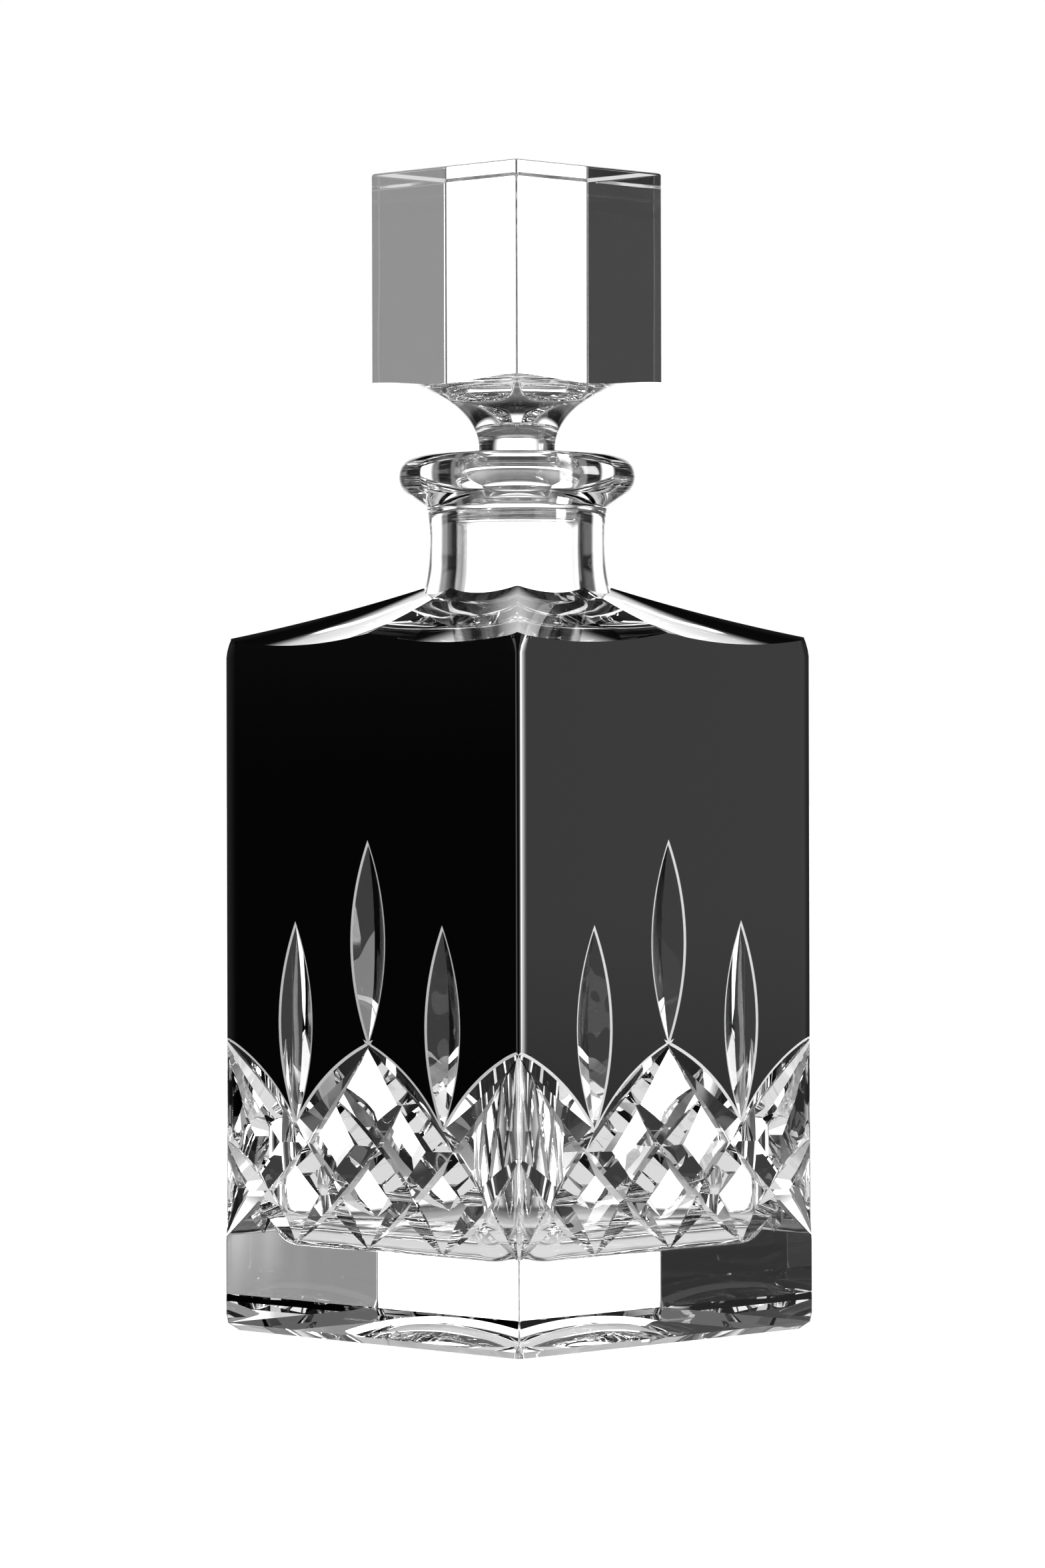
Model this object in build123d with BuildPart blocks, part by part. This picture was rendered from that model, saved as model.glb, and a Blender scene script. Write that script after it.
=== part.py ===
from build123d import *
from math import acos, atan2, degrees, hypot, radians, sqrt, tan
import os

os.makedirs("parts", exist_ok=True)

# Square spirit decanter of cut crystal: a clear vessel with a thick base, a black glass casing fused over
# its upper walls, and a solid block stopper. Millimetres, +Z up. The origin is the centre of the base, on
# the surface the decanter stands on, and the four walls are square to X and Y.

# --- vessel, outside ---
width = 88.6                  # across the flat walls
half = width / 2
wall_edge_r = 1.2             # softened vertical edges above the base; the ground base's own are crisp
base_chamfer = 1.5            # bevel round the foot
dish_r = 27.0                 # polished hollow in the underside, so that it stands on its rim
dish_depth = 4.0
corner_turn_r = 62.2          # the wall corners are turned in a little just under the shoulder
corner_turn_top_r = 61.4
corner_turn_start_z = 143.4

# --- shoulder: eight hollow flutes between ridges to the corners and to the middle of each wall ---
shoulder_corner_z = 147.2     # ridge height at a wall corner
shoulder_side_z = 147.9       # ridge height at the middle of a wall
shoulder_neck_z = 158.1       # where the ridges meet the neck
flute_dip_wall = 1.8          # hollow of a flute at the wall
flute_dip_neck = 0.7          # hollow of a flute at the neck
ridge_sag = 0.6               # the ridges hang this much half way down to the wall
flute_overrun = 1.2           # a flute's cutter is this much wider than the flute
flute_clear = 2.0             # and reaches this far past the wall

# --- neck and lip ring ---
neck_base_r = 20.2
neck_base_z = 156.6           # a little below the top of the shoulder, which closes round it
neck_waist_r = 18.8
neck_waist_z = 167.5
neck_top_r = 19.4
neck_top_z = 175.1
lip_r = 25.4
lip_bulge_z = 181.7           # height of the lip's widest line
lip_top_z = 186.8
lip_crown_r = 20.6            # where the lip's round outside turns into its nearly flat top
lip_crown_z = 186.5
lip_flat_r = 17.0             # edge of the flat top
lip_undercut = (23.3, 177.7)  # end of the sloping underside, radius and height

# --- cavity, bore and the ground socket for the stopper ---
cavity_width = 76.0
cavity_corner_r = 10.0
cavity_floor_z = 18.5
cavity_floor_r = 8.0
cavity_roof_slope = 0.25      # fall of the cavity's roof per millimetre of radius
bore_r = 13.0
bore_foot_z = 148.3           # height at which the roof's cone would reach the bore
bore_throat_r = 18.0          # rounding from the roof into the bore
socket_foot_z = 171.0
socket_taper = 0.05           # 1 in 10 on the diameter, the usual ground joint
mouth_round_r = 1.2
cavity_top_z = 188.0          # the cutter for the cavity ends in the air over the lip

# --- cut pattern ---
wheel_edge_half_angle = 50.0  # V edge of the wheel that cuts the diamond band
leaf_edge_half_angle = 69.0   # blunter V edge of the wheel that cuts the leaves
band_top_z = 62.0             # peaks of the arches
band_bottom_z = 19.8          # lower points of the diamonds
long_groove_depth = 2.9
inner_groove_depth = 2.8
corner_groove_depth = 2.4
leaf_length = 43.0
leaf_wheel_r = 115.0
tall_leaf_z = 83.5            # middle of the leaf over each peak
short_leaf_z = 66.2           # middle of the leaf over each valley
wheel_rim = 6.0               # height of the wheel's V edge that is modelled
wheel_clear = 2.0             # how far past the wall each cutter's sector reaches

# --- black casing ---
casing_thickness = 0.5

# --- stopper ---
head_width = 44.0
head_top_z = 246.7
head_chamfer = 0.5
flare_top_z = 202.0           # height at which the flared underside reaches the head's corners
flare_foot_z = 188.0
shank_r = 8.2
shank_foot_z = 185.6          # where the shank meets the sloping top of the peg
peg_top_z = 181.0
peg_foot_z = 172.0
peg_chamfer = 1.0
peg_clearance = 0.05

# --- worked out from the above ---
quarter = width / 4
band_mid_z = (band_top_z + band_bottom_z) / 2
groove_rise = (band_top_z - band_bottom_z) / half
groove_angle = degrees(atan2(groove_rise, 1))
leaf_depth = leaf_length**2 / (8 * leaf_wheel_r)


def socket_r(z):
    return bore_r + socket_taper * (z - socket_foot_z)


def wheel_planes(x, z, angle, wheel_r, depth):
    """The wheel's axis, and the plane of its V edge at the start of the sector that meets the front wall."""
    along = Vector(1, 0, 0).rotate(Axis.Y, -angle)
    axle = Vector(0, 0, 1).rotate(Axis.Y, -angle)
    centre = Vector(x, -half - (wheel_r - depth), z)
    axis = Axis(centre, axle)
    sector = degrees(acos(1 - (depth + wheel_clear) / wheel_r))
    start = along.rotate(Axis((0, 0, 0), axle), -sector)
    return axis, Plane(origin=centre, x_dir=axle, z_dir=start), 2 * sector


def v_wheel(x, z, angle, wheel_r, depth, half_angle):
    """Sector of a V-edged cutting wheel that sinks to the depth at (x, z) of the front wall."""
    axis, plane, sector = wheel_planes(x, z, angle, wheel_r, depth)
    spread = wheel_rim * tan(radians(half_angle))
    with BuildPart() as wheel:
        with BuildSketch(plane):
            with BuildLine():
                rim = wheel_rim - wheel_r
                Polyline((0, -wheel_r), (spread, rim), (-spread, rim), close=True)
            make_face()
        revolve(axis=axis, revolution_arc=sector)
    return wheel.part


def groove(foot_x, top_x, depth):
    """Diamond groove of the front wall, from its point at the foot of the band to its upper point."""
    run = top_x - foot_x
    rise = abs(run) * groove_rise
    reach = hypot(run, rise) / 2
    angle = groove_angle if run > 0 else 180 - groove_angle
    wheel_r = (reach**2 + depth**2) / (2 * depth)
    return v_wheel(
        (foot_x + top_x) / 2, band_bottom_z + rise / 2, angle, wheel_r, depth, wheel_edge_half_angle
    )


def leaf(x, z):
    """One upright leaf of the front wall."""
    return v_wheel(x, z, 90, leaf_wheel_r, leaf_depth, leaf_edge_half_angle)


def front_cuts():
    """Every cutter that meets the front wall."""
    cuts = [leaf(0, tall_leaf_z), leaf(-quarter, short_leaf_z), leaf(quarter, short_leaf_z)]
    for side in (1, -1):
        # long grooves up to the peaks of the arches, whose outline they carry
        cuts.append(groove(0, side * half, long_groove_depth))
        cuts.append(groove(-side * half, 0, long_groove_depth))
        # inside the middle lozenge, up to the long groove that closes it
        cuts.append(groove(-side * quarter, side * quarter / 2, inner_groove_depth))
        # up to the corner of the vessel
        cuts.append(groove(side * quarter, side * half, corner_groove_depth))
    return cuts


def all_round(pieces):
    """The same pieces on all four walls."""
    return [Rot(0, 0, turn) * piece for turn in (0, 90, 180, 270) for piece in pieces]


def flute_face(x):
    """Section of the flute's cutter from the middle of the +X wall to its +Y corner, at a given X."""
    side_run = (x - neck_base_r) / (half - neck_base_r)
    corner_run = (x * sqrt(2) - neck_base_r) / (half * sqrt(2) - neck_base_r)
    sag = 4 * ridge_sag * corner_run * (1 - corner_run)
    side_z = shoulder_neck_z + (shoulder_side_z - shoulder_neck_z) * side_run - sag
    corner_z = shoulder_neck_z + (shoulder_corner_z - shoulder_neck_z) * corner_run - sag
    dip = flute_dip_neck + (flute_dip_wall - flute_dip_neck) * corner_run
    chord = hypot(x, corner_z - side_z)
    radius = (chord**2 / 4 + dip**2) / (2 * dip)
    reach = flute_overrun * chord / 2
    rise = radius - sqrt(radius**2 - reach**2) - dip
    middle = (x, x / 2, (side_z + corner_z) / 2)
    plane = Plane(origin=middle, x_dir=(0, x, corner_z - side_z), z_dir=(1, 0, 0))
    with BuildSketch(plane) as section:
        with BuildLine():
            ThreePointArc((-reach, rise), (0, -dip), (reach, rise))
            Polyline((reach, rise), (reach, half), (-reach, half), (-reach, rise))
        make_face()
    return section.sketch


def flute():
    """Cutter for the hollow flute from the middle of the +X wall to its +Y corner."""
    with BuildPart() as cutter:
        start, end = neck_base_r / sqrt(2), half + flute_clear
        loft([flute_face(start), flute_face((start + end) / 2), flute_face(end)])
    return cutter.part


def wall_block(inset):
    """Square prism of the vessel: crisp edges round the base, softer edges above it."""
    side = width - 2 * inset
    with BuildPart() as block:
        with BuildSketch():
            Rectangle(side, side)
        extrude(amount=band_bottom_z)
        chamfer(block.faces().sort_by(Axis.Z)[0].edges(), base_chamfer)
        with BuildSketch(Plane.XY.offset(band_bottom_z)):
            RectangleRounded(side, side, wall_edge_r - inset)
        extrude(amount=shoulder_neck_z - band_bottom_z)
    return block.part


def under_arches():
    """Everything below the arches on the front wall, between the vessel's two diagonals."""
    far = width
    with BuildPart() as region:
        with BuildSketch(Plane.XZ):
            with BuildLine():
                peaks = [(far, band_top_z), (half, band_top_z), (quarter, band_mid_z), (0, band_top_z)]
                peaks += [(-x, z) for x, z in reversed(peaks[:-1])]
                Polyline((-far, -far), (far, -far), *peaks, close=True)
            make_face()
        extrude(amount=far)
        with BuildSketch():
            with BuildLine():
                Polyline((0, 0), (-far, -far), (far, -far), close=True)
            make_face()
        extrude(amount=far, mode=Mode.INTERSECT)
    return region.part


def corner_turning():
    """Round envelope that turns the four wall corners in just under the shoulder."""
    with BuildPart() as envelope:
        with BuildSketch(Plane.XZ):
            with BuildLine():
                start = (corner_turn_r, corner_turn_start_z)
                foot = Polyline((0, 0), (width, 0), (width, corner_turn_start_z), start)
                turn = TangentArc(start, (corner_turn_top_r, shoulder_corner_z), tangent=(0, 1))
                Polyline(turn @ 1, (corner_turn_top_r, lip_top_z), (0, lip_top_z), foot @ 0)
            make_face()
        revolve(axis=Axis.Z)
    return envelope.part


def dish():
    """Cutter for the hollow in the underside: a cap of a large sphere."""
    with BuildPart() as cutter:
        with BuildSketch(Plane.XZ):
            with BuildLine():
                cap = ThreePointArc((-dish_r, 0), (0, dish_depth), (dish_r, 0))
                Polyline(cap @ 1, (dish_r, -dish_depth), (-dish_r, -dish_depth), cap @ 0)
            make_face()
            split(bisect_by=Plane.YZ)
        revolve(axis=Axis.Z)
    return cutter.part


turned = corner_turning()
flutes = all_round([flute(), mirror(flute(), about=Plane.XZ)])
cuts = all_round(front_cuts())

# the layer of black glass before it is cut: a thin skin over the walls, above the arches
casing_blank = (wall_block(0) & turned) - wall_block(casing_thickness) - all_round([under_arches()])

with BuildPart() as black_casing:
    add(casing_blank)
    add(flutes, mode=Mode.SUBTRACT)
    add(cuts, mode=Mode.SUBTRACT)
black_casing.part.label = "black_casing"
export_step(black_casing.part, "parts/black_casing.step")

mouth_foot_z = lip_top_z - mouth_round_r
mouth_r = socket_r(mouth_foot_z)

with BuildPart() as cavity:
    with BuildSketch(Plane.XY.offset(cavity_floor_z)):
        RectangleRounded(cavity_width, cavity_width, cavity_corner_r)
    extrude(amount=cavity_top_z - cavity_floor_z)
    fillet(cavity.faces().sort_by(Axis.Z)[0].edges(), cavity_floor_r)
    with BuildSketch(Plane.XZ):
        with BuildLine():
            roof_rim = (width, bore_foot_z - cavity_roof_slope * (width - bore_r))
            FilletPolyline(roof_rim, (bore_r, bore_foot_z), (bore_r, socket_foot_z), radius=bore_throat_r)
            socket = Line((bore_r, socket_foot_z), (mouth_r, mouth_foot_z))
            mouth = RadiusArc(socket @ 1, (mouth_r + mouth_round_r, lip_top_z), mouth_round_r)
            above = (mouth_r + mouth_round_r, cavity_top_z)
            Polyline(mouth @ 1, above, (0, cavity_top_z), (0, 0), (width, 0), roof_rim)
        make_face()
    revolve(axis=Axis.Z, mode=Mode.INTERSECT)

with BuildPart() as crystal_body:
    add(wall_block(0) & turned)
    add(flutes, mode=Mode.SUBTRACT)
    with BuildSketch(Plane.XZ):
        with BuildLine():
            foot = Polyline((0, shoulder_side_z), (neck_base_r, shoulder_side_z), (neck_base_r, neck_base_z))
            ThreePointArc(foot @ 1, (neck_waist_r, neck_waist_z), (neck_top_r, neck_top_z))
            underside = Line((neck_top_r, neck_top_z), lip_undercut)
            TangentArc(underside @ 1, (lip_r, lip_bulge_z), tangent=underside % 1)
            crown = TangentArc((lip_r, lip_bulge_z), (lip_crown_r, lip_crown_z), tangent=(0, 1))
            Polyline(crown @ 1, (lip_flat_r, lip_top_z), (0, lip_top_z), foot @ 0)
        make_face()
    revolve(axis=Axis.Z)
    add(casing_blank, mode=Mode.SUBTRACT)
    add(cuts, mode=Mode.SUBTRACT)
    add(cavity.part, mode=Mode.SUBTRACT)
    add(dish(), mode=Mode.SUBTRACT)
crystal_body.part.label = "crystal_body"
export_step(crystal_body.part, "parts/crystal_body.step")

with BuildPart() as stopper:
    with BuildSketch(Plane.XZ):
        with BuildLine():
            peg = Polyline(
                (0, peg_foot_z),
                (socket_r(peg_foot_z) - peg_clearance - peg_chamfer, peg_foot_z),
                (socket_r(peg_foot_z + peg_chamfer) - peg_clearance, peg_foot_z + peg_chamfer),
                (socket_r(peg_top_z) - peg_clearance, peg_top_z),
                (shank_r, shank_foot_z),
                (shank_r, flare_foot_z),
            )
            head_r = head_width / sqrt(2)
            flare_run = head_r - shank_r
            flare_rise = flare_top_z - flare_foot_z
            EllipticalCenterArc((head_r, flare_foot_z), flare_run, flare_rise, start_angle=90, arc_size=90)
            Polyline((head_r, flare_top_z), (head_r, head_top_z), (0, head_top_z), peg @ 0)
        make_face()
    revolve(axis=Axis.Z)
    with BuildSketch(Plane.XY.offset(peg_foot_z)):
        Rectangle(head_width, head_width)
    extrude(amount=head_top_z - peg_foot_z, mode=Mode.INTERSECT)
    chamfer(stopper.faces().sort_by(Axis.Z)[-1].edges(), head_chamfer)
stopper.part.label = "stopper"
export_step(stopper.part, "parts/stopper.step")

for piece in (crystal_body, black_casing, stopper):
    print(piece.part.label, len(piece.solids()), "solid", round(piece.part.volume / 1000, 1), "cm3")
print("cavity up to the lip", round(cavity.part.volume / 1e6, 3), "litre")
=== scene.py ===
import math

import bmesh
import bpy
import numpy as np
from mathutils import Matrix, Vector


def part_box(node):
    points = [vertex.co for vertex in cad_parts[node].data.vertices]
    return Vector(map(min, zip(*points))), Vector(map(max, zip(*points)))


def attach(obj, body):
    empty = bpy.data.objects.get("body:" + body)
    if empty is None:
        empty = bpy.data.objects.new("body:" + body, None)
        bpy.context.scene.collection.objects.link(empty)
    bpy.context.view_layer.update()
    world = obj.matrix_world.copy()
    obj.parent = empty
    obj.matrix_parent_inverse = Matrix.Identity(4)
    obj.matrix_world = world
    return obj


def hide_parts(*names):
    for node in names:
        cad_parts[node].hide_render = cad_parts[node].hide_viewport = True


# Square decanter of cut crystal with a black casing and a block stopper. Points are worked out in
# millimetres, as in the CAD source, and scaled to metres where a mesh is made.

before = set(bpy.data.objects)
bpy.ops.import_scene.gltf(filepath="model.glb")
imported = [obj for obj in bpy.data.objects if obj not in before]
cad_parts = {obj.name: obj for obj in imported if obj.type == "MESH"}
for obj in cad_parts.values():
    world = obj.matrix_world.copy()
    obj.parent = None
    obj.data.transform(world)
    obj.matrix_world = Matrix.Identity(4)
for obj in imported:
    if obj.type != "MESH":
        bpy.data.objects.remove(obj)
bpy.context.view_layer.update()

MM = 0.001
_, vessel_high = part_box("crystal_body")
stopper_low, stopper_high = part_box("stopper")

HALF = vessel_high.x / MM                 # half the width across the walls
QUARTER = HALF / 2
LIP_TOP = vessel_high.z / MM
PEG_FOOT = stopper_low.z / MM
HEAD_TOP = stopper_high.z / MM
HEAD_HALF = stopper_high.x / MM

# walls
FOOT_CHAMFER = 1.5
CRISP_EDGE_R = 0.3                        # the vertical edges of the base
WALL_EDGE_R = 0.8                         # and the ones above it, a little softer
ROLL_WIDTH = 4.0                          # the walls lean in a little this close to their edges
EDGE_TOP = 143.4                          # above this the edges round off more and more
CASING = 0.2                              # thickness of the black glass
DISH_R, DISH_DEPTH = 27.0, 4.0            # hollow in the underside

# cut pattern of the front wall
BAND_BOTTOM, BAND_TOP = 19.8, 62.0        # the band of diamonds
BAND_MID = (BAND_BOTTOM + BAND_TOP) / 2
GROOVE_RISE = (BAND_TOP - BAND_BOTTOM) / HALF
GROOVE_SLOPE = math.degrees(math.atan(GROOVE_RISE))
GROOVE_HALF_ANGLE, LEAF_HALF_ANGLE, ARCH_HALF_ANGLE = 50, 69, 72
LONG_GROOVE_DEPTH, INNER_GROOVE_DEPTH, CORNER_GROOVE_DEPTH = 2.9, 2.8, 2.4
LEAF_LENGTH, LEAF_WHEEL_R = 43.0, 115.0
TALL_LEAF, SHORT_LEAF = 83.5, 66.2        # heights of the leaves' middles
ARCH_WHEEL_R, ARCH_DEPTH = 140.0, 1.45
ARCH_MIDDLE = 0.41                        # share of the way from a valley of the arches up to a peak

# shoulder and neck
SHOULDER_CORNER, SHOULDER_SIDE, SHOULDER_NECK = 147.2, 147.9, 158.1
FLUTE_DIP_WALL, FLUTE_DIP_NECK = 1.8, 0.7
RIDGE_SAG = 0.6
NECK_R = 20.2

# inside
CAVITY_HALF, CAVITY_CORNER_R, CAVITY_FLOOR, CAVITY_FLOOR_R = 38.0, 10.0, 18.5, 8.0
ROOF_SLOPE = 0.25
ROOF_ROUNDING, BORE_ROUNDING = 10.0, 14.0  # the curves from the walls to the roof, and from it to the bore
BORE_R, BORE_FOOT = 13.0, 148.3
SOCKET_FOOT, SOCKET_TAPER = 171.0, 0.05
MOUTH_ROUND = 1.2

# stopper
FLARE_FOOT, FLARE_TOP = 188.0, 202.0
SHANK_R, SHANK_FOOT = 8.2, 185.6
PEG_TOP, PEG_BEVEL, PEG_CLEARANCE = 181.0, 1.0, 0.05
HEAD_EDGE_R = 0.6


# ---------------------------------------------------------------- mesh tools

def solid(name, points, faces):
    """Closed mesh object from points in millimetres."""
    mesh = bpy.data.meshes.new(name)
    mesh.from_pydata([[c * MM for c in p] for p in points], [], faces)
    work = bmesh.new()
    work.from_mesh(mesh)
    bmesh.ops.recalc_face_normals(work, faces=work.faces)
    work.to_mesh(mesh)
    work.free()
    made = bpy.data.objects.new(name, mesh)
    bpy.context.scene.collection.objects.link(made)
    return made


def stack(name, rings):
    """Closed skin over a pile of equally long rings of points, with flat ends."""
    count = len(rings[0])
    points = [p for ring in rings for p in ring]
    faces = [
        (k * count + i, k * count + (i + 1) % count, (k + 1) * count + (i + 1) % count, (k + 1) * count + i)
        for k in range(len(rings) - 1)
        for i in range(count)
    ]
    faces.append(tuple(range(count))[::-1])
    faces.append(tuple((len(rings) - 1) * count + i for i in range(count)))
    return solid(name, points, faces)


def lathe(name, profile, segments=240):
    """Solid of revolution about Z from (radius, height) points that start and end on the axis."""
    inner = profile[1:-1]
    count = len(inner)
    points = [(0, 0, profile[0][1]), (0, 0, profile[-1][1])]
    faces = []
    for i in range(segments):
        angle = 2 * math.pi * i / segments
        points += [(r * math.cos(angle), r * math.sin(angle), z) for r, z in inner]
        here, there = 2 + i * count, 2 + (i + 1) % segments * count
        faces += [(here + k, there + k, there + k + 1, here + k + 1) for k in range(count - 1)]
        faces.append((0, there, here))
        faces.append((1, here + count - 1, there + count - 1))
    return solid(name, points, faces)


def arc(centre, radii, start, end, steps):
    """Points on an ellipse's arc, angles in degrees, ends included."""
    turns = np.radians(np.linspace(start, end, steps + 1))
    return [(centre[0] + radii[0] * math.cos(t), centre[1] + radii[1] * math.sin(t)) for t in turns]


def through(a, b, c, steps):
    """Points on the arc from a through b to c, ends included. b lies between a and c."""
    (ax, ay), (bx, by), (cx, cy) = a, b, c
    d = 2 * (ax * (by - cy) + bx * (cy - ay) + cx * (ay - by))
    ux = ((ax**2 + ay**2) * (by - cy) + (bx**2 + by**2) * (cy - ay) + (cx**2 + cy**2) * (ay - by)) / d
    uy = ((ax**2 + ay**2) * (cx - bx) + (bx**2 + by**2) * (ax - cx) + (cx**2 + cy**2) * (bx - ax)) / d
    radius = math.hypot(ax - ux, ay - uy)
    start, _, end = np.unwrap([math.atan2(y - uy, x - ux) for x, y in (a, b, c)])
    turns = np.linspace(start, end, steps + 1)
    return [(ux + radius * math.cos(t), uy + radius * math.sin(t)) for t in turns]


def blend_arc(a, corner, c, steps):
    """Points from a to c on a smooth curve that is tangent to the lines to the corner, ends included."""
    a, corner, c = (np.array(p, float) for p in (a, corner, c))
    shares = np.linspace(0, 1, steps + 1)
    return [tuple((1 - t) ** 2 * a + 2 * t * (1 - t) * corner + t**2 * c) for t in shares]


def dress(piece, *materials):
    """Gives a piece its material slots."""
    piece.data.materials.clear()
    for material in materials:
        piece.data.materials.append(material)


def combine(target, tool, operation="DIFFERENCE", keep_tool=False):
    """Boolean of two closed meshes, applied to the target. Faces keep the material slot they had."""
    if not tool.data.materials:
        dress(tool, *target.data.materials)
    step = target.modifiers.new("combine", "BOOLEAN")
    step.solver = "MANIFOLD"
    step.material_mode = "INDEX"
    step.object = tool
    step.operation = operation
    bpy.context.view_layer.objects.active = target
    bpy.ops.object.modifier_apply(modifier=step.name)
    if not keep_tool:
        bpy.data.objects.remove(tool)
    return target


def copy_of(shape, name, quarter_turns=0, mirrored=False):
    """Copy of a shape, mirrored in Y if asked, then turned about Z."""
    copy = shape.copy()
    copy.data = shape.data.copy()
    copy.name = name
    bpy.context.scene.collection.objects.link(copy)
    if mirrored:
        copy.data.transform(Matrix.Scale(-1, 4, (0, 1, 0)))
        copy.data.flip_normals()
    copy.data.transform(Matrix.Rotation(math.pi / 2 * quarter_turns, 4, "Z"))
    return copy


def smooth(piece, crease=14):
    """Smooth shading that keeps the cut edges crisp and the flats flat."""
    piece.data.shade_smooth()
    piece.data.set_sharp_from_angle(angle=math.radians(crease))
    weigh = piece.modifiers.new("normals", "WEIGHTED_NORMAL")
    weigh.keep_sharp = True
    bpy.context.view_layer.objects.active = piece
    bpy.ops.object.modifier_apply(modifier=weigh.name)


# ---------------------------------------------------------------- outer form

def square_ring(z, half, edge_r, roll):
    """Rounded square at a height. roll is how far the walls lean in by the time they reach the edges."""
    line = [half - edge_r - share * (ROLL_WIDTH - edge_r) for share in (1, 0.8, 0.62, 0.45, 0.3, 0.15)]
    turns = np.radians(np.linspace(0, 90, 9))
    corner = [(half, u) for u in line]
    corner += [(half - edge_r * (1 - math.cos(t)), half - edge_r * (1 - math.sin(t))) for t in turns]
    corner += [(u, half) for u in line[::-1]]

    def lean(along, across):
        share = max(0.0, (abs(across) - half + ROLL_WIDTH) / ROLL_WIDTH)
        facing = max(0.0, (abs(along) - half + ROLL_WIDTH) / ROLL_WIDTH)
        return along - math.copysign(roll * share**2 * facing, along)

    ring = []
    for turn in range(4):
        for x, y in corner:
            x, y = lean(x, y), lean(y, x)
            for _ in range(turn):
                x, y = -y, x
            ring.append((x, y, z))
    return ring


def wall_block(name, inset=0.0):
    """The square block of the vessel. An inset one starts above the base and goes on past the top."""
    levels = [                            # height, half width, edge radius, roll
        (0.0, HALF - FOOT_CHAMFER, 1.6, 0.0),
        (FOOT_CHAMFER, HALF, 1.2, 0.0),
        (FOOT_CHAMFER + 2, HALF, CRISP_EDGE_R, 0.0),
        (BAND_BOTTOM - 1, HALF, CRISP_EDGE_R, 0.0),
        (BAND_BOTTOM + 4, HALF, WALL_EDGE_R, 0.04),
        (BAND_MID, HALF, WALL_EDGE_R, 0.07),
        (BAND_TOP, HALF, WALL_EDGE_R, 0.1),
        (EDGE_TOP, HALF, WALL_EDGE_R, 0.1),
        (EDGE_TOP + 1.4, HALF, 1.2, 0.13),
        (EDGE_TOP + 2.8, HALF, 2.0, 0.2),
        (EDGE_TOP + 4.0, HALF, 3.0, 0.3),
        (SHOULDER_NECK, HALF, 3.5, 0.4),
    ]
    if inset:
        levels = [level for level in levels if level[0] > BAND_BOTTOM]
        levels[-1] = (levels[-1][0] + 4, *levels[-1][1:])
    rings = [square_ring(z, half - inset, max(edge_r - inset, CRISP_EDGE_R), roll)
             for z, half, edge_r, roll in levels]
    return stack(name, rings)


def flute(name):
    """Cutter for the hollow flute from the middle of the +X wall to its +Y corner."""
    overrun, above = 1.25, SHOULDER_NECK + 30
    rows = []
    for x in np.linspace(NECK_R / math.sqrt(2) - 1, HALF + 2, 49):
        side_run = (x - NECK_R) / (HALF - NECK_R)
        corner_run = (x * math.sqrt(2) - NECK_R) / (HALF * math.sqrt(2) - NECK_R)
        sag = 4 * RIDGE_SAG * corner_run * (1 - corner_run)
        side_z = SHOULDER_NECK + (SHOULDER_SIDE - SHOULDER_NECK) * side_run - sag
        corner_z = SHOULDER_NECK + (SHOULDER_CORNER - SHOULDER_NECK) * corner_run - sag
        dip = FLUTE_DIP_NECK + (FLUTE_DIP_WALL - FLUTE_DIP_NECK) * corner_run
        middle_z, tilt = (side_z + corner_z) / 2, (corner_z - side_z) / 2
        row = [(x, x / 2 * (1 + s), middle_z + tilt * s - dip * (1 - s**2))
               for s in np.linspace(-overrun, overrun, 41)]
        row += [(x, x / 2 * (1 + s), above) for s in (overrun, -overrun)]
        rows.append(row)
    return stack(name, rows)


# ---------------------------------------------------------------- cut pattern

def v_wheel(name, x, z, angle, wheel_r, depth, half_angle, low_half_angle=None):
    """Sector of a V-edged cutting wheel that sinks to the depth at (x, z) of the front wall.
    angle is the cut's direction in the wall, from +X, in degrees. The flank below the cut can have
    a half angle of its own."""
    rim, clear = 6.0, 2.0
    spread = rim * math.tan(math.radians(half_angle))
    low_spread = rim * math.tan(math.radians(low_half_angle or half_angle))
    along = np.array([math.cos(math.radians(angle)), 0, math.sin(math.radians(angle))])
    across = np.array([-along[2], 0, along[0]])
    inward = np.array([0, 1, 0])
    centre = np.array([x, -HALF - (wheel_r - depth), z])
    sector = math.acos(1 - (depth + clear) / wheel_r)
    rings = []
    for t in np.linspace(-sector, sector, 65):
        out = inward * math.cos(t) + along * math.sin(t)
        tip = centre + out * wheel_r
        low, high = (centre + out * (wheel_r - rim) + across * s for s in (-low_spread, spread))
        rings.append([tip, low, high])
    return stack(name, rings)


def groove(name, foot_x, top_x, depth):
    """Diamond groove of the front wall, from its point at the foot of the band to its upper point."""
    run = top_x - foot_x
    rise = abs(run) * GROOVE_RISE
    reach = math.hypot(run, rise) / 2
    angle = GROOVE_SLOPE if run > 0 else 180 - GROOVE_SLOPE
    wheel_r = (reach**2 + depth**2) / (2 * depth)
    x, z = (foot_x + top_x) / 2, BAND_BOTTOM + rise / 2
    return v_wheel(name, x, z, angle, wheel_r, depth, GROOVE_HALF_ANGLE)


def leaf(name, x, z):
    """One upright leaf of the front wall."""
    depth = LEAF_LENGTH**2 / (8 * LEAF_WHEEL_R)
    return v_wheel(name, x, z, 90, LEAF_WHEEL_R, depth, LEAF_HALF_ANGLE)


def arch(name, valley_x, peak_x):
    """Wide shallow cut along one side of an arch. Its upper flank gives the casing its curved outline."""
    x = valley_x + ARCH_MIDDLE * (peak_x - valley_x)
    z = BAND_MID + ARCH_MIDDLE * (BAND_TOP - BAND_MID)
    angle = math.copysign(GROOVE_SLOPE, peak_x - valley_x)
    return v_wheel(name, x, z, angle, ARCH_WHEEL_R, ARCH_DEPTH, ARCH_HALF_ANGLE, GROOVE_HALF_ANGLE)


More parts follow.
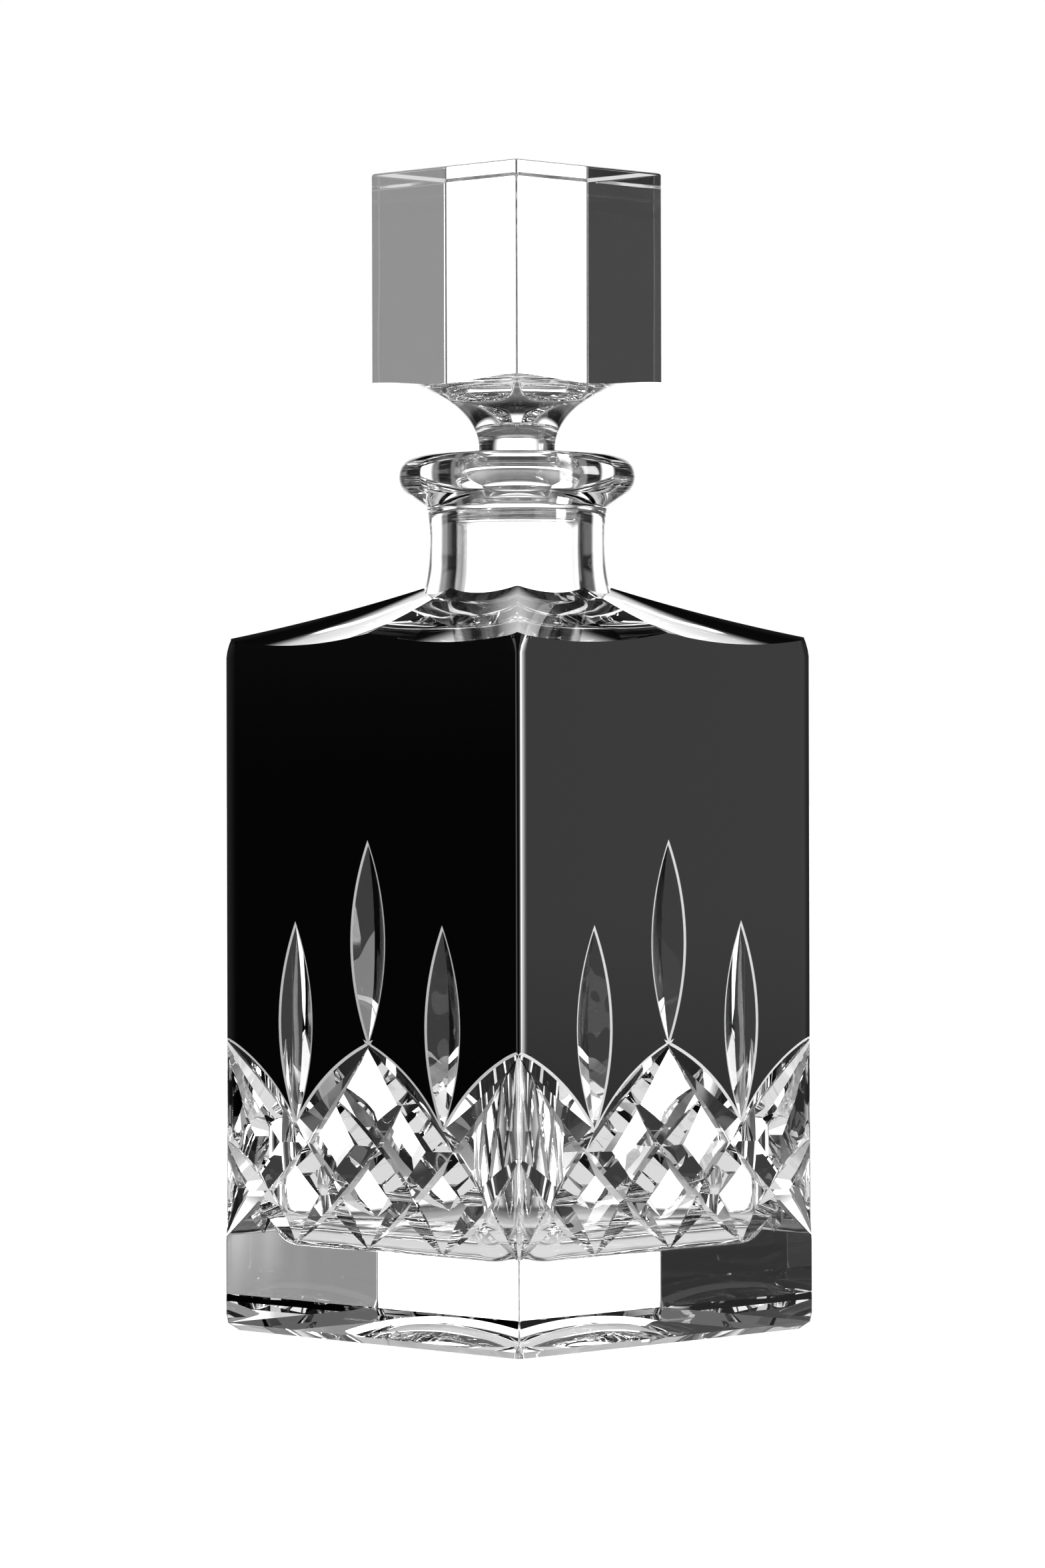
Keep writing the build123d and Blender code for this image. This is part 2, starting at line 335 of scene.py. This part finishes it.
def front_cuts():
    """Every cutter that meets the front wall."""
    cuts = [leaf("leaf", x, z)
            for x, z in ((0, TALL_LEAF), (-QUARTER, SHORT_LEAF), (QUARTER, SHORT_LEAF))]
    for side in (1, -1):
        cuts.append(groove("groove", 0, side * HALF, LONG_GROOVE_DEPTH))
        cuts.append(groove("groove", -side * HALF, 0, LONG_GROOVE_DEPTH))
        cuts.append(groove("groove", -side * QUARTER, side * QUARTER / 2, INNER_GROOVE_DEPTH))
        cuts.append(groove("groove", side * QUARTER, side * HALF, CORNER_GROOVE_DEPTH))
        cuts.append(arch("arch", side * QUARTER, 0))
        cuts.append(arch("arch", side * QUARTER, side * HALF))
    return cuts


def cutters():
    """The cut pattern's cutters for all four walls."""
    front = front_cuts()
    around = [copy_of(cut, "cut", turn) for turn in (1, 2, 3) for cut in front]
    return front + around


def under_arches(name):
    """Everything below the arches on the front wall, between the vessel's two diagonals."""
    far = 2 * HALF
    outline = [(-far, -1), (far, -1), (far, BAND_TOP), (HALF, BAND_TOP), (QUARTER, BAND_MID), (0, BAND_TOP),
               (-QUARTER, BAND_MID), (-HALF, BAND_TOP), (-far, BAND_TOP)]
    region = stack(name, [[(x, y, z) for x, z in outline] for y in (-far, 2)])
    wedge = stack("wedge", [[(0, 1, z), (-far, 1 - far, z), (far, 1 - far, z)] for z in (-2, BAND_TOP + 2)])
    return combine(region, wedge, "INTERSECT")


# ---------------------------------------------------------------- vessel

def neck(name):
    """Neck and lip ring, down into the shoulder. Points are (radius, height)."""
    bulge, crown = (25.4, 181.7), (20.6, LIP_TOP - 0.25)
    outline = [(0, SHOULDER_SIDE - 3), (NECK_R, SHOULDER_SIDE - 3)]
    outline += through((NECK_R, SHOULDER_NECK - 1.5), (18.8, 167.5), (19.4, 175.1), 20)[:-1]
    outline += blend_arc((19.4, 174.9), (19.5, 175.3), (20.2, 175.7), 4)
    outline += blend_arc((23.3, 177.7), (25.3, 179.2), bulge, 10)
    outline += blend_arc(bulge, (25.4, 186.0), crown, 16)[1:]
    outline += blend_arc(crown, (18.0, LIP_TOP), (14.6, LIP_TOP), 5)[1:]
    return lathe(name, outline + [(0, LIP_TOP)])


def rounded_square(z, half, corner_r, steps=36):
    """Ring of a square with rounded corners."""
    corner_r = min(corner_r, 0.995 * half)
    ring = []
    for turn in range(4):
        for t in np.radians(np.linspace(0, 90, steps + 1)):
            x, y = half - corner_r * (1 - math.cos(t)), half - corner_r * (1 - math.sin(t))
            for _ in range(turn):
                x, y = -y, x
            ring.append((x, y, z))
    return ring


def cavity_outline():
    """Points (half width, height) from the cavity's floor up to the mouth."""
    floor_middle = (CAVITY_HALF - CAVITY_FLOOR_R, CAVITY_FLOOR + CAVITY_FLOOR_R)
    floor = arc(floor_middle, (CAVITY_FLOOR_R, CAVITY_FLOOR_R), -90, 0, 14)
    roof_rim = BORE_FOOT - ROOF_SLOPE * (CAVITY_HALF - BORE_R)
    roof_edge = blend_arc((CAVITY_HALF, roof_rim - ROOF_ROUNDING), (CAVITY_HALF, roof_rim),
                          (CAVITY_HALF - ROOF_ROUNDING, roof_rim + ROOF_SLOPE * ROOF_ROUNDING), 14)
    roof_foot = (BORE_R + BORE_ROUNDING, BORE_FOOT - ROOF_SLOPE * BORE_ROUNDING)
    bore = blend_arc(roof_foot, (BORE_R, BORE_FOOT), (BORE_R, BORE_FOOT + BORE_ROUNDING), 20)
    mouth_z = LIP_TOP - MOUTH_ROUND
    mouth_r = BORE_R + SOCKET_TAPER * (mouth_z - SOCKET_FOOT)
    mouth = arc((mouth_r + MOUTH_ROUND, mouth_z), (MOUTH_ROUND, MOUTH_ROUND), 180, 90, 8)
    walls = [(CAVITY_HALF, 60), (CAVITY_HALF, 100)]
    socket = [(BORE_R, SOCKET_FOOT), (mouth_r, mouth_z)]
    return floor + walls + roof_edge + bore + socket + mouth[1:] + [(mouth_r + MOUTH_ROUND, LIP_TOP + 1)]


def cavity(name):
    """The space inside: a rounded square room whose roof closes in to the round bore, and the socket."""
    least_corner_r, round_below = 1.5, BORE_R + 5
    rings = []
    for half, z in cavity_outline():
        share = min(1.0, max(0.0, (CAVITY_HALF - half) / (CAVITY_HALF - BORE_R)))
        corner_r = CAVITY_CORNER_R + (BORE_R - CAVITY_CORNER_R) * share
        if z < CAVITY_FLOOR + CAVITY_FLOOR_R:
            corner_r = max(CAVITY_CORNER_R - (CAVITY_HALF - half), least_corner_r)
        elif half <= round_below:
            corner_r = half
        rings.append(rounded_square(z, half, corner_r))
    return stack(name, rings)


def dish(name):
    """Cutter for the hollow in the underside."""
    sphere_r = (DISH_R**2 + DISH_DEPTH**2) / (2 * DISH_DEPTH)
    reach = math.degrees(math.asin(DISH_R / sphere_r))
    cap = arc((0, DISH_DEPTH - sphere_r), (sphere_r, sphere_r), 90 - reach, 90, 30)
    return lathe(name, [(0, -1), (DISH_R, -1)] + cap)


# ---------------------------------------------------------------- stopper

def peg_r(z):
    """Radius of the ground peg."""
    return BORE_R + SOCKET_TAPER * (z - SOCKET_FOOT) - PEG_CLEARANCE


def stopper_block(name):
    """Square block head with a flared underside, a round shank and the ground peg."""
    corner_r = HEAD_HALF * math.sqrt(2)
    outline = [(0, PEG_FOOT)]
    outline += blend_arc((peg_r(PEG_FOOT) - PEG_BEVEL, PEG_FOOT), (peg_r(PEG_FOOT), PEG_FOOT),
                         (peg_r(PEG_FOOT + PEG_BEVEL), PEG_FOOT + PEG_BEVEL), 6)
    outline += blend_arc((peg_r(PEG_TOP - 1), PEG_TOP - 1), (peg_r(PEG_TOP), PEG_TOP),
                         (peg_r(PEG_TOP) - 1, PEG_TOP + 1), 8)
    outline += blend_arc((SHANK_R + 1, SHANK_FOOT - 1), (SHANK_R, SHANK_FOOT), (SHANK_R, SHANK_FOOT + 1), 8)
    outline += arc((corner_r, FLARE_FOOT), (corner_r - SHANK_R, FLARE_TOP - FLARE_FOOT), 180, 90, 48)
    outline += [(corner_r + 1, FLARE_TOP), (corner_r + 1, HEAD_TOP + 1), (0, HEAD_TOP + 1)]
    turned = lathe(name, outline)
    steps = 10
    edge_middle = (HEAD_HALF - HEAD_EDGE_R, HEAD_TOP - HEAD_EDGE_R)
    top_edge = arc(edge_middle, (HEAD_EDGE_R, HEAD_EDGE_R), 0, 90, steps)
    rings = [rounded_square(PEG_FOOT - 1, HEAD_HALF, HEAD_EDGE_R, steps)]
    rings += [rounded_square(z, half, HEAD_EDGE_R, steps) for half, z in top_edge]
    return combine(turned, stack("prism", rings), "INTERSECT")


# ---------------------------------------------------------------- materials

def shader(name, base, roughness, transmission=0.0, ior=1.5):
    """Principled material, and its shader node."""
    material = bpy.data.materials.new(name)
    material.use_nodes = True
    principled = material.node_tree.nodes["Principled BSDF"]
    principled.inputs["Base Color"].default_value = (*base, 1)
    principled.inputs["Roughness"].default_value = roughness
    principled.inputs["Transmission Weight"].default_value = transmission
    principled.inputs["IOR"].default_value = ior
    return material, principled


def cloud(material, size, detail=1.0):
    """Noise whose clouds are this many metres across, from 0 to 1."""
    nodes, links = material.node_tree.nodes, material.node_tree.links
    place = nodes.new("ShaderNodeTexCoord")
    noise = nodes.new("ShaderNodeTexNoise")
    noise.inputs["Scale"].default_value = 1 / size
    noise.inputs["Detail"].default_value = detail
    links.new(place.outputs["Object"], noise.inputs["Vector"])
    return noise.outputs["Fac"]


def waves(material, principled, size, height):
    """Slow uneven waves in a polished surface. size is their length and height their depth, in metres."""
    bump = material.node_tree.nodes.new("ShaderNodeBump")
    bump.inputs["Strength"].default_value = 1.0
    bump.inputs["Distance"].default_value = height
    material.node_tree.links.new(cloud(material, size), bump.inputs["Height"])
    material.node_tree.links.new(bump.outputs["Normal"], principled.inputs["Normal"])


def uneven_gloss(material, principled, size, low, high):
    """Roughness that wanders between two values."""
    gloss = material.node_tree.nodes.new("ShaderNodeMapRange")
    gloss.inputs["To Min"].default_value = low
    gloss.inputs["To Max"].default_value = high
    material.node_tree.links.new(cloud(material, size, 2.0), gloss.inputs["Value"])
    material.node_tree.links.new(gloss.outputs["Result"], principled.inputs["Roughness"])


def clear_glass(name, wave_size, wave_height):
    """Clear crystal with a slightly wavy surface."""
    material, principled = shader(name, base=(1.0, 1.0, 1.0), roughness=0.0, transmission=1.0, ior=1.54)
    waves(material, principled, wave_size, wave_height)
    return material


def black_glass(name):
    """Black glass with a fire-polished skin."""
    material, principled = shader(name, base=(0.0008, 0.0008, 0.0009), roughness=0.02, ior=1.7)
    waves(material, principled, size=0.04, height=0.00003)
    uneven_gloss(material, principled, size=0.03, low=0.01, high=0.04)
    return material


def matt_black(name):
    """The underside of the casing, where it is fused to the crystal."""
    material, principled = shader(name, base=(0.002, 0.002, 0.002), roughness=0.5)
    principled.inputs["Specular IOR Level"].default_value = 0.0
    waves(material, principled, size=0.004, height=0.0001)
    uneven_gloss(material, principled, size=0.01, low=0.4, high=0.7)
    return material


def rim_painted_highlight(name):
    """The wheel-cut edge of the casing, coloured pale grey as a painted highlight for the light it catches.
    """
    # pale grey base colour: a painted highlight, not the black glass's own colour
    material, principled = shader(name, base=(0.65, 0.65, 0.65), roughness=0.25, ior=1.54)
    waves(material, principled, size=0.002, height=0.00003)
    uneven_gloss(material, principled, size=0.003, low=0.15, high=0.4)
    return material


# ---------------------------------------------------------------- build

def paint(piece, slot):
    """Puts every face of a piece in one of its material slots."""
    piece.data.polygons.foreach_set("material_index", [slot] * len(piece.data.polygons))


def build_vessel(crystal, inside, bond, cased, rim):
    """The clear vessel, and the layer of black glass on its upper walls. The vessel's faces that the
    layer is fused to are black too."""
    block = wall_block("crystal_vessel")
    flute_tool = flute("flute")
    flutes = [copy_of(flute_tool, "flute", turn, mirrored)
              for turn in range(4) for mirrored in (False, True)]
    bpy.data.objects.remove(flute_tool)

    layer = copy_of(block, "casing_layer")
    combine(layer, wall_block("core", CASING))
    arches = under_arches("arches")
    for turn in range(4):
        combine(layer, copy_of(arches, "arches", turn))
    bpy.data.objects.remove(arches)

    dress(block, crystal, inside, bond)
    for tool in flutes:
        combine(block, tool, keep_tool=True)
    combine(block, neck("neck"), "UNION")
    room = cavity("cavity")
    blank = copy_of(layer, "blank")
    for tool, slot in ((room, 1), (blank, 2)):
        dress(tool, crystal, inside, bond)
        paint(tool, slot)
        combine(block, tool)
    combine(block, dish("dish"))

    dress(layer, cased, rim)
    for tool in flutes:
        combine(layer, tool)
    for tool in cutters():
        combine(block, tool, keep_tool=True)
        # the casing's cut faces take the second slot, the pale grey painted highlight along the cut
        # outlines
        dress(tool, cased, rim)
        paint(tool, 1)
        combine(layer, tool)
    return block, layer


crystal = clear_glass("cut_crystal", wave_size=0.03, wave_height=0.00004)
inside = clear_glass("blown_inside", wave_size=0.014, wave_height=0.0002)
bond = matt_black("casing_bond")
vessel, layer = build_vessel(crystal, inside, bond, black_glass("cased_glass"), rim_painted_highlight("rim_painted_highlight"))
stopper = stopper_block("stopper_block")
dress(stopper, crystal)
for piece, body, node, slot in ((vessel, "vessel", "crystal_body", "clear_crystal"),
                                (layer, "vessel", "black_casing", "black_glass"),
                                (stopper, "stopper", "stopper", "stopper_crystal")):
    smooth(piece)
    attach(piece, body)
    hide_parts(node)

# ---------------------------------------------------------------- studio

scene = bpy.context.scene


def pale_floor(radius, glow):
    """Round floor under the object. The glass doesn't see it, but the world's light from below instead."""
    turns = np.linspace(0, 2 * math.pi, 97)[:-1]
    rim = [(radius * math.cos(t), radius * math.sin(t), 0) for t in turns]
    mesh = bpy.data.meshes.new("floor")
    mesh.from_pydata(rim, [], [tuple(range(len(rim)))])
    floor = bpy.data.objects.new("floor", mesh)
    scene.collection.objects.link(floor)
    material, principled = shader("floor", base=(0.85, 0.85, 0.85), roughness=0.7)
    principled.inputs["Emission Color"].default_value = (1, 1, 1, 1)
    principled.inputs["Emission Strength"].default_value = glow
    mesh.materials.append(material)
    floor.visible_glossy = False
    floor.visible_transmission = False


def world_light(cards, ambient):
    """Studio round the object as light by direction. A card is (turn from, turn to, softness, height from,
    height to, softness, strength), with angles in degrees. Turn 0 is straight behind the object, and 90 is
    to the camera's right. The camera itself sees plain white."""
    world = bpy.data.worlds.new("studio")
    scene.world = world
    world.use_nodes = True
    nodes, links = world.node_tree.nodes, world.node_tree.links
    nodes.clear()
    output = nodes.new("ShaderNodeOutputWorld")
    background = nodes.new("ShaderNodeBackground")
    background.inputs["Color"].default_value = (1, 1, 1, 1)
    links.new(background.outputs[0], output.inputs[0])

    def calculate(operation, *values):
        node = nodes.new("ShaderNodeMath")
        node.operation = operation
        for i, value in enumerate(values):
            if isinstance(value, (int, float)):
                node.inputs[i].default_value = value
            else:
                links.new(value, node.inputs[i])
        return node.outputs[0]

    def step(value, start, end):
        node = nodes.new("ShaderNodeMapRange")
        node.interpolation_type = "SMOOTHSTEP"
        node.inputs["From Min"].default_value = start
        node.inputs["From Max"].default_value = end
        links.new(value, node.inputs["Value"])
        return node.outputs["Result"]

    direction = nodes.new("ShaderNodeTexCoord")
    split = nodes.new("ShaderNodeSeparateXYZ")
    links.new(direction.outputs["Generated"], split.inputs[0])
    x, y, z = split.outputs
    right = calculate("ADD", x, y)
    away = calculate("SUBTRACT", y, x)
    turn = calculate("MULTIPLY", calculate("ARCTAN2", right, away), 180 / math.pi)
    height = calculate("MULTIPLY", calculate("ARCSINE", z), 180 / math.pi)
    light = ambient
    for turn_from, turn_to, turn_soft, low, high, soft, strength in cards:
        inside = step(turn, turn_from - turn_soft, turn_from + turn_soft)
        inside = calculate("MULTIPLY", inside, step(turn, turn_to + turn_soft, turn_to - turn_soft))
        inside = calculate("MULTIPLY", inside, step(height, low - soft, low + soft))
        inside = calculate("MULTIPLY", inside, step(height, high + soft, high - soft))
        light = calculate("ADD", light, calculate("MULTIPLY", inside, strength))
    path = nodes.new("ShaderNodeLightPath")
    seen = path.outputs["Is Camera Ray"]
    shown = calculate("ADD", calculate("MULTIPLY", light, calculate("SUBTRACT", 1.0, seen)), seen)
    links.new(shown, background.inputs["Strength"])


pale_floor(radius=12.0, glow=0.85)
world_light([
    (-21, 23, 9, -16, 27, 3, 2.0),        # white backdrop
    (-42, -21, 5, -16, 27, 3, 0.22),      # its shaded edge
    (-200, -160, 6, -30, 40, 6, 0.04),    # behind the camera
    (160, 200, 6, -30, 40, 6, 0.04),
    (-150, -118, 5, -30, 40, 5, 1.0),     # reflectors at the camera's sides
    (118, 150, 5, -30, 40, 5, 1.0),
    (62, 84, 3, -30, 8, 3, 0.22),         # grey wall to the right
    (84, 96, 1.5, -30, 30, 1.5, 0.3),
    (84, 96, 1.5, -3, 2.5, 1.5, 0.22),
    (94, 112, 2, -4, 24, 2, 14.0),        # softbox to the right, a little in front
    (-84, -70, 3, -30, 30, 3, 0.2),       # grey wall to the left, and darkness next to it
    (-120, -84, 1.2, 0.8, 30, 1.2, 0.03),
    (-200, 200, 4, -95, -30, 9, 0.75),    # floor, bright under the object and dim further away
    (-200, 200, 4, -30, -19, 3, 0.2),
    (-200, 200, 4, 40, 95, 4, 0.12),      # ceiling
], ambient=0.012)

# ---------------------------------------------------------------- camera

camera_data = bpy.data.cameras.new("camera")
camera = bpy.data.objects.new("camera", camera_data)
scene.collection.objects.link(camera)
scene.camera = camera
VIEW_DISTANCE, VIEW_HEIGHT, VIEW_TILT = 1.206, 0.1227, 0.0025     # metres, and the tilt in radians
camera.location = (VIEW_DISTANCE * math.sqrt(0.5), -VIEW_DISTANCE * math.sqrt(0.5), VIEW_HEIGHT)
camera.rotation_euler = (math.pi / 2, VIEW_TILT, math.pi / 4)
camera_data.lens = 129.7
camera_data.sensor_width = 36
camera_data.shift_x = 0.003
camera_data.shift_y = -0.019
camera_data.clip_start = 0.05
camera_data.clip_end = 50

scene.view_settings.view_transform = "Standard"
scene.view_settings.look = "None"
scene.cycles.max_bounces = 32
scene.cycles.transmission_bounces = 32
scene.cycles.glossy_bounces = 16
scene.cycles.diffuse_bounces = 3
scene.cycles.use_denoising = True
scene.cycles.sample_clamp_indirect = 10
